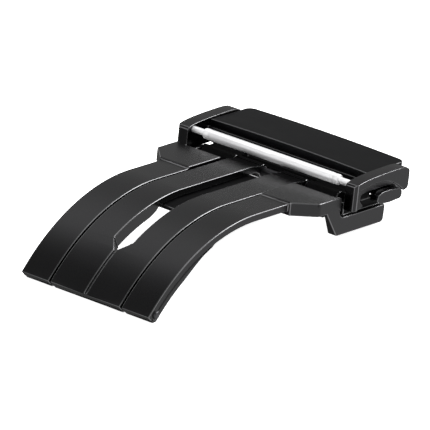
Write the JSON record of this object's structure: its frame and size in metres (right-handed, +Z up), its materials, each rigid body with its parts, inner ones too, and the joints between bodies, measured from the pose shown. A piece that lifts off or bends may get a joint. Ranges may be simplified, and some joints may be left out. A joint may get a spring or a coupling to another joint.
{
  "type": "watch strap folding clasp",
  "caption": "Folding clasp for a watch strap: curved blades hinged at one end, a cover with side push buttons and spring bars for the strap.",
  "frame": {"origin": "middle of the closed clasp's bounding box, at its bottom, on the table it lies on", "axes": "+Z up from the table, +Y along the strap from the folding end to the cover, X across the strap"},
  "size_m": [0.0288, 0.0463, 0.0077],
  "materials": {
    "black_polished": "gloss, black physical vapour coating on polished steel",
    "black_satin": "satin, black coating on brushed steel",
    "black_pin": "gloss, black coated pin",
    "bright_steel": "polished bare steel",
    "spring_steel": "bare spring wire"
  },
  "bodies": {
    "outer": {"outer_blade": "black_polished", "fold_hinge_pin": "black_pin", "rear_bar_tube": "bright_steel", "rear_bar_spring": "spring_steel"},
    "inner": {"inner_blade": "black_polished", "cover_hinge_pin": "black_pin"},
    "cover": {"cover_frame": "black_polished", "top_plate": "black_satin", "mechanism_cover": "black_satin", "cover_screws": "spring_steel", "front_bar_tube": "bright_steel", "front_bar_spring": "spring_steel", "button_spring_left": "spring_steel", "button_spring_right": "spring_steel"},
    "button_l": {"push_button_left": "black_polished"},
    "button_r": {"push_button_right": "black_polished"},
    "front_tip_l": {"front_bar_tip_left": "bright_steel"},
    "front_tip_r": {"front_bar_tip_right": "bright_steel"},
    "rear_tip_l": {"rear_bar_tip_left": "bright_steel"},
    "rear_tip_r": {"rear_bar_tip_right": "bright_steel"}
  },
  "joints": [
    {"name": "fold_hinge", "type": "hinge", "parent": "outer", "child": "inner", "pos_m": [0, -0.02174, 0.00093], "axis": [1, 0, 0], "range_deg": [0, 150]},
    {"name": "cover_hinge", "type": "hinge", "parent": "inner", "child": "cover", "pos_m": [0, 0.01251, 0.00435], "axis": [1, 0, 0], "range_deg": [-150, 0]},
    {"name": "press_left", "type": "slide", "parent": "cover", "child": "button_l", "axis": [1, 0, 0], "range_m": [0, 0.0008], "stiffness_N_per_m": 300, "springref_m": -0.002, "deforming": ["button_spring_left"]},
    {"name": "press_right", "type": "slide", "parent": "cover", "child": "button_r", "axis": [-1, 0, 0], "range_m": [0, 0.0008], "stiffness_N_per_m": 300, "springref_m": -0.002, "deforming": ["button_spring_right"]},
    {"name": "front_tip_left", "type": "slide", "parent": "cover", "child": "front_tip_l", "axis": [1, 0, 0], "range_m": [0, 0.0009], "stiffness_N_per_m": 400, "springref_m": -0.002, "deforming": ["front_bar_spring"]},
    {"name": "front_tip_right", "type": "slide", "parent": "cover", "child": "front_tip_r", "axis": [-1, 0, 0], "range_m": [0, 0.0009], "stiffness_N_per_m": 400, "springref_m": -0.002, "deforming": ["front_bar_spring"]},
    {"name": "rear_tip_left", "type": "slide", "parent": "outer", "child": "rear_tip_l", "axis": [1, 0, 0], "range_m": [0, 0.0009], "stiffness_N_per_m": 400, "springref_m": -0.002, "deforming": ["rear_bar_spring"]},
    {"name": "rear_tip_right", "type": "slide", "parent": "outer", "child": "rear_tip_r", "axis": [-1, 0, 0], "range_m": [0, 0.0009], "stiffness_N_per_m": 400, "springref_m": -0.002, "deforming": ["rear_bar_spring"]}
  ],
  "couplings": [
    {"joint": "cover_hinge", "follows": "fold_hinge", "ratio": -1}
  ]
}
